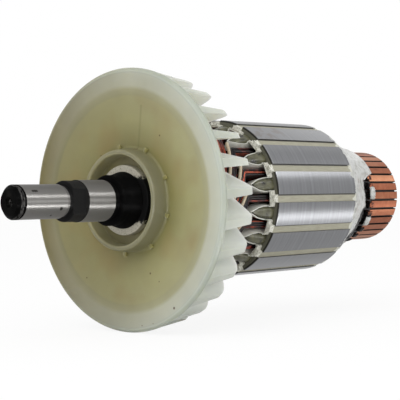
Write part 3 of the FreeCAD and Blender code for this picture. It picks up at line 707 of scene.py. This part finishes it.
def buildResin(shape, material):
    # a lumpy cone, closed by a plain inner wall
    around = shape["around"]
    length = shape["end"] - shape["start"]
    rings = []
    for i in range(shape["along"] + 1):
        share = i / shape["along"]
        mean = coneRadius(shape, share)
        ring = []
        for k in range(around):
            degrees = 360 * k / around
            a = math.radians(degrees)
            spot = Vector((share * length * 0.22, math.cos(a) * 6.0, math.sin(a) * 6.0))
            lump = noise.fractal(spot * 0.9, 1.0, 2.0, 4) + 0.5 * abs(noise.noise(spot * 2.3))
            roll = min(1.0, (1 - share) * 9, share * 9)  # rounded over at both ends
            rounded = 1 - math.sqrt(max(0.0, 1 - (1 - roll) ** 2))
            radius = mean + shape["lumpMm"] * (lump - 0.35) - rounded
            shiftX = 0.9 * noise.noise(spot * 1.4 + Vector((9, 0, 0))) * share * shape["lumpMm"] * 1.6
            cover = runShare(shape, degrees) * max(0.0, (share - 0.6) / 0.4)
            x = shape["start"] + share * length + shiftX * (1 - cover) + shape["runLength"] * cover
            radius = max(radius, mean - shape["wall"] + 0.2, shape["runRadius"] if cover > 0.1 else 0.0)
            ring.append(pointAt(x, radius, degrees))
        rings.append(ring)
    for share in (1.0, shape["straight"], 0.0):
        x, inner = shape["start"] + share * length, coneRadius(shape, share) - shape["wall"]
        rings.append([pointAt(x, inner, 360 * k / around) for k in range(around)])
    vertices = [point for ring in rings for point in ring]
    faces = []
    for i in range(len(rings)):
        low, high = i * around, ((i + 1) % len(rings)) * around
        for k in range(around):
            faces.append((low + k, high + k, high + (k + 1) % around, low + (k + 1) % around))
    mesh = newMesh("resinCrust", vertices, faces, material)
    mesh.set_sharp_from_angle(angle=math.radians(60))
    crust = addObject("resinCrust", mesh)
    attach(crust, "root")
    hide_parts("rear_resin")


def buildSplashes(shape, material):
    # lumps of resin that sit on the hooks
    vertices, faces = [], []
    around, along = shape["splashAround"], shape["splashAlong"]
    for number, (fromDegrees, toDegrees, fromX, toX) in enumerate(shape["splashes"]):
        base = len(vertices)
        for level in (0, 1):
            for i in range(along + 1):
                for k in range(around + 1):
                    across, share = 2 * k / around - 1, 2 * i / along - 1
                    spot = Vector((i * 0.45, k * 0.3, 7.0 * number))
                    edge = 1 - 0.35 * abs(noise.noise(spot * 0.9))
                    bulge = math.sqrt(max(0.0, (1 - across ** 4) * (1 - share ** 4)))
                    thick = level * bulge * (shape["splashMm"] + 0.3 * noise.noise(spot))
                    x = (fromX + toX) / 2 + (toX - fromX) / 2 * share * edge
                    degrees = (fromDegrees + toDegrees) / 2 + (toDegrees - fromDegrees) / 2 * across * edge
                    vertices.append(pointAt(x, shape["splashRadius"] + thick, degrees))
        row, sheet = around + 1, (around + 1) * (along + 1)
        for i in range(along):
            for k in range(around):
                a = base + i * row + k
                faces.append((a, a + row, a + row + 1, a + 1))
                faces.append((a + sheet, a + sheet + 1, a + sheet + row + 1, a + sheet + row))
    mesh = newMesh("resinSplashes", vertices, faces, material)
    weld = bmesh.new()
    weld.from_mesh(mesh)
    bmesh.ops.remove_doubles(weld, verts=weld.verts, dist=1e-6)
    bmesh.ops.recalc_face_normals(weld, faces=weld.faces)
    weld.to_mesh(mesh)
    weld.free()
    splashes = addObject("resinSplashes", mesh)
    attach(splashes, "root")
    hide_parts("rear_resin")


whiteEpoxy = resinMaterial(resinLook)
buildResin(resinShape, whiteEpoxy)
buildSplashes(resinShape, whiteEpoxy)


# Commutator bars: hard drawn copper, turned to a soft sheen, each bar a little different in tone
# varnish names the colour of the black on the fronts of the hooks and on the low ones
barLook = {"copper": "#8f563e", "copperLight": "#a9785b", "copperDark": "#70412e", "slotShade": "#1c0e08",
           "varnish": "#0c0b0a", "hookShade": "#3a1810", "specksPerMm": 1.4, "bars": 32, "lineSpacingMm": 0.5,
           # shares of a bar's width from its middle, radians, and millimetres along the shaft
           "edgeFade": (0.35, 0.39), "lowHooks": (-0.33, -0.42), "hookFace": (171.5, 171.3),
           "hookEnd": (174.3, 174.1)}


def barMaterial(look):
    material, add, shader, at = newMaterial("turnedCopper", Specular_IOR_Level=0.1)
    pitch = 2 * math.pi / look["bars"]
    # a count of bars round the shaft, kept above zero, with each bar's middle at a half
    turns = add("Math", [at["angle"], 1 / pitch, 100.5], operation="MULTIPLY_ADD")
    number = add("Math", [turns], operation="FLOOR")
    tone = add("TexWhiteNoise", [number], noise_dimensions="1D")
    lines = add("TexNoise",
                {"W": at["x"], "Scale": 1 / look["lineSpacingMm"], "Detail": 3.0, "Roughness": 0.6},
                noise_dimensions="1D")
    clouds = add("TexNoise", {"Vector": at["place"], "Scale": 0.3, "Detail": 4.0})
    mixed = add("Math", [tone, 0.35, 0.12], operation="MULTIPLY_ADD")
    withLines = add("Math", [lines, 0.25, mixed], operation="MULTIPLY_ADD")
    withClouds = add("Math", [clouds, 0.4, withLines], operation="MULTIPLY_ADD")
    colour = add("ValToRGB", [withClouds],
                 [(0.3, look["copperDark"]), (0.5, look["copper"]), (0.8, look["copperLight"])])
    # dark along both edges of a bar, and black on the fronts of the hooks and on the low ones
    share = add("Math", [turns], operation="FRACT")
    centred = add("Math", [share, 0.5], operation="SUBTRACT")
    offset = add("Math", [centred], operation="ABSOLUTE")
    rim = add("MapRange", [offset, *look["edgeFade"]])
    edged = add("Mix", [rim, colour, look["slotShade"]], data_type="RGBA")
    low = add("MapRange", [at["angle"], *look["lowHooks"]])
    face = add("MapRange", [at["x"], *look["hookFace"]])
    covered = add("Math", [low, face], operation="MAXIMUM")
    onHook = add("MapRange", [at["x"], *look["hookEnd"]])
    varnish = add("Math", [covered, onHook], operation="MULTIPLY")
    # specks of varnish on the tops of the hooks, which stay dark copper between them
    specks = add("TexNoise", {"Vector": at["place"], "Scale": look["specksPerMm"], "Detail": 2.0})
    speck = add("MapRange", [specks, 0.47, 0.52])
    mottled = add("Math", [speck, onHook], operation="MULTIPLY")
    spotted = add("Mix", [mottled, edged, look["hookShade"]], data_type="RGBA")
    whole = add("Mix", [varnish, spotted, look["varnish"]], data_type="RGBA")
    bare = add("Math", [1.0, varnish], operation="SUBTRACT")
    gloss = add("MapRange", [lines, 0, 1, 0.42, 0.54])
    bump = add("Bump", {"Height": lines, "Strength": 0.15, "Distance": 0.0001})
    turnedSheen(add, shader, 0.6)
    fill(shader, {"Base Color": whole, "Metallic": bare, "Roughness": gloss, "Normal": bump})
    return material


dress("commutator_bars", barMaterial(barLook), 25)


# Dull dark mica between the bars, moulded black phenolic body, and turned steel bush of the commutator:
# two tones and grains per millimetre
hubLook = {"mica": ("#080605", "#16100d", 2.0), "phenolic": ("#070707", "#121211", 0.8),
           "bush": ("#77787a", "#77787a", 1.5)}


def grainMaterial(name, tones, **shaderValues):
    material, add, shader, at = newMaterial(name, **shaderValues)
    low, high, grainsPerMm = tones
    grain = add("TexNoise", {"Vector": at["place"], "Scale": grainsPerMm, "Detail": 4.0})
    colour = add("Mix", [grain, low, high], data_type="RGBA")
    bump = add("Bump", {"Height": grain, "Strength": 0.2, "Distance": 0.0002})
    fill(shader, {"Base Color": colour, "Normal": bump})
    return material


dress("commutator_mica", grainMaterial("micaPlate", hubLook["mica"], Roughness=0.6))
dress("commutator_moulding", grainMaterial("mouldedPhenolic", hubLook["phenolic"], Roughness=0.5,
                                           Specular_IOR_Level=0.2), 30)
dress("commutator_bush", grainMaterial("turnedSteelBush", hubLook["bush"], Metallic=1.0, Roughness=0.4), 30)
print("commutator dressed")


# Stage: white floor under the fan, white surroundings, soft lamps on the near side
# floor height and half its width in metres, world strength for light, and how much shadow is let through
stageLook = {"floorZ": -0.0487, "floorReach": 6.0, "paper": "#fafafa", "fill": 0.85, "shadowShare": 0.12}


def seenRays(add):
    # 1 for rays that come from the camera, straight, mirrored or through the plastic
    path = add("LightPath")
    seen = add("Math", [path.outputs["Is Camera Ray"], path.outputs["Is Glossy Ray"]], operation="MAXIMUM")
    return add("Math", [seen, path.outputs["Is Transmission Ray"]], operation="MAXIMUM")


def buildFloor(look):
    reach, z = look["floorReach"], look["floorZ"]
    mesh = bpy.data.meshes.new("floor")
    mesh.from_pydata([(-reach, -reach, z), (reach, -reach, z), (reach, reach, z), (-reach, reach, z)],
                     [], [(0, 1, 2, 3)])
    floor = addObject("floor", mesh)
    material = bpy.data.materials.new("whitePaperFloor")
    material.use_nodes = True
    material.node_tree.nodes.clear()
    add = partial(addNode, material.node_tree)
    paper = add("BsdfDiffuse", [look["paper"]])
    glow = add("Emission", [(1, 1, 1, 1), 1.0])
    share = add("Math", [seenRays(add), 1 - look["shadowShare"]], operation="MULTIPLY")
    add("OutputMaterial", [add("MixShader", [share, paper, glow])])
    mesh.materials.append(material)


def buildWorld(look):
    world = bpy.data.worlds.new("studio")
    bpy.context.scene.world = world
    world.use_nodes = True
    world.node_tree.nodes.clear()
    add = partial(addNode, world.node_tree)
    strength = add("MapRange", [seenRays(add), 0, 1, look["fill"], 1])
    add("OutputWorld", [add("Background", [(1, 1, 1, 1), strength])])


lampList = (
    # name, place and target in metres, degrees that its width is turned off the shaft, width, height, watts,
    # and whether it lights matt surfaces too
    ("upperStrip", (0.50, -0.285, 0.20), (0.10, -0.02, 0.008), 20, 0.48, 0.05, 0.30, False),
    ("lowerStrip", (0.24, -0.088, -0.046), (0.24, -0.01, -0.006), 0, 0.42, 0.022, 0.15, False),
    ("topBox", (0.60, 0.08, 0.27), (0.16, 0.0, 0.02), 0, 0.30, 0.22, 0.17, False),
    ("upperSeatStrip", (-0.05, -0.30, 0.19), (0.02, 0.0, 0.0), 0, 0.40, 0.03, 0.85, False),
    ("middleSeatStrip", (-0.05, -0.30, 0.01), (0.02, 0.0, 0.0), 0, 0.40, 0.05, 0.32, False),
    ("lowerSeatStrip", (-0.05, -0.088, -0.046), (0.0, 0.0, 0.0), 0, 0.20, 0.012, 0.17, False),
    ("frontBox", (-0.55, -0.25, 0.55), (0.09, 0.0, 0.0), 0, 0.6, 0.6, 2.2, True),
    ("sideBox", (0.15, -0.85, 0.45), (0.09, 0.0, 0.0), 0, 0.7, 0.5, 0.8, True),
)


def buildLamps(lamps):
    for name, place, target, turnDegrees, width, height, watts, onMatt in lamps:
        data = bpy.data.lights.new(name, "AREA")
        data.shape = "RECTANGLE"
        data.size = width
        data.size_y = height
        data.energy = watts
        lamp = addObject(name, data)
        # a strip's width runs close to the shaft's direction, so its highlight runs along the shaft,
        # and the width of a box that lights matt surfaces too is level
        aim = (Vector(place) - Vector(target)).normalized()
        a = math.radians(turnDegrees)
        level = Vector((0, 0, 1)).cross(aim).normalized()
        across = level if onMatt else Vector((math.cos(a), math.sin(a), 0))
        back = (aim - across * aim.dot(across)).normalized()
        turn = Matrix((across, back.cross(across), back)).transposed().to_4x4()
        lamp.matrix_world = Matrix.Translation(Vector(place)) @ turn
        lamp.visible_camera = False
        lamp.visible_diffuse = onMatt


buildFloor(stageLook)
buildWorld(stageLook)
buildLamps(lampList)


# Camera: at the photograph's place, level with the shaft, turned 48 degrees off it
cameraPlace = {"position": (-0.26733, -0.31456, 0.0), "azimuthDegrees": 48.15, "rollDegrees": 1.087,
               "focalPixels": 1199.6, "framePixels": 400, "centreX": 0.5, "centreY": -1.23, "sensorMm": 36.0}


def buildCamera(setup):
    data = bpy.data.cameras.new("camera")
    data.sensor_width = setup["sensorMm"]
    data.lens = setup["focalPixels"] / setup["framePixels"] * setup["sensorMm"]
    data.shift_x = -setup["centreX"] / setup["framePixels"]
    data.shift_y = setup["centreY"] / setup["framePixels"]
    camera = addObject("camera", data)
    azimuth = math.radians(setup["azimuthDegrees"])
    roll = math.radians(setup["rollDegrees"])
    forward = Vector((math.sin(azimuth), math.cos(azimuth), 0))
    level = Vector((math.cos(azimuth), -math.sin(azimuth), 0))
    up = Vector((0, 0, 1))
    right = level * math.cos(roll) - up * math.sin(roll)
    above = up * math.cos(roll) + level * math.sin(roll)
    turn = Matrix((right, above, -forward)).transposed().to_4x4()
    camera.matrix_world = Matrix.Translation(Vector(setup["position"])) @ turn
    bpy.context.scene.camera = camera


buildCamera(cameraPlace)
bpy.context.scene.view_settings.view_transform = "Standard"
print("stage and camera set")
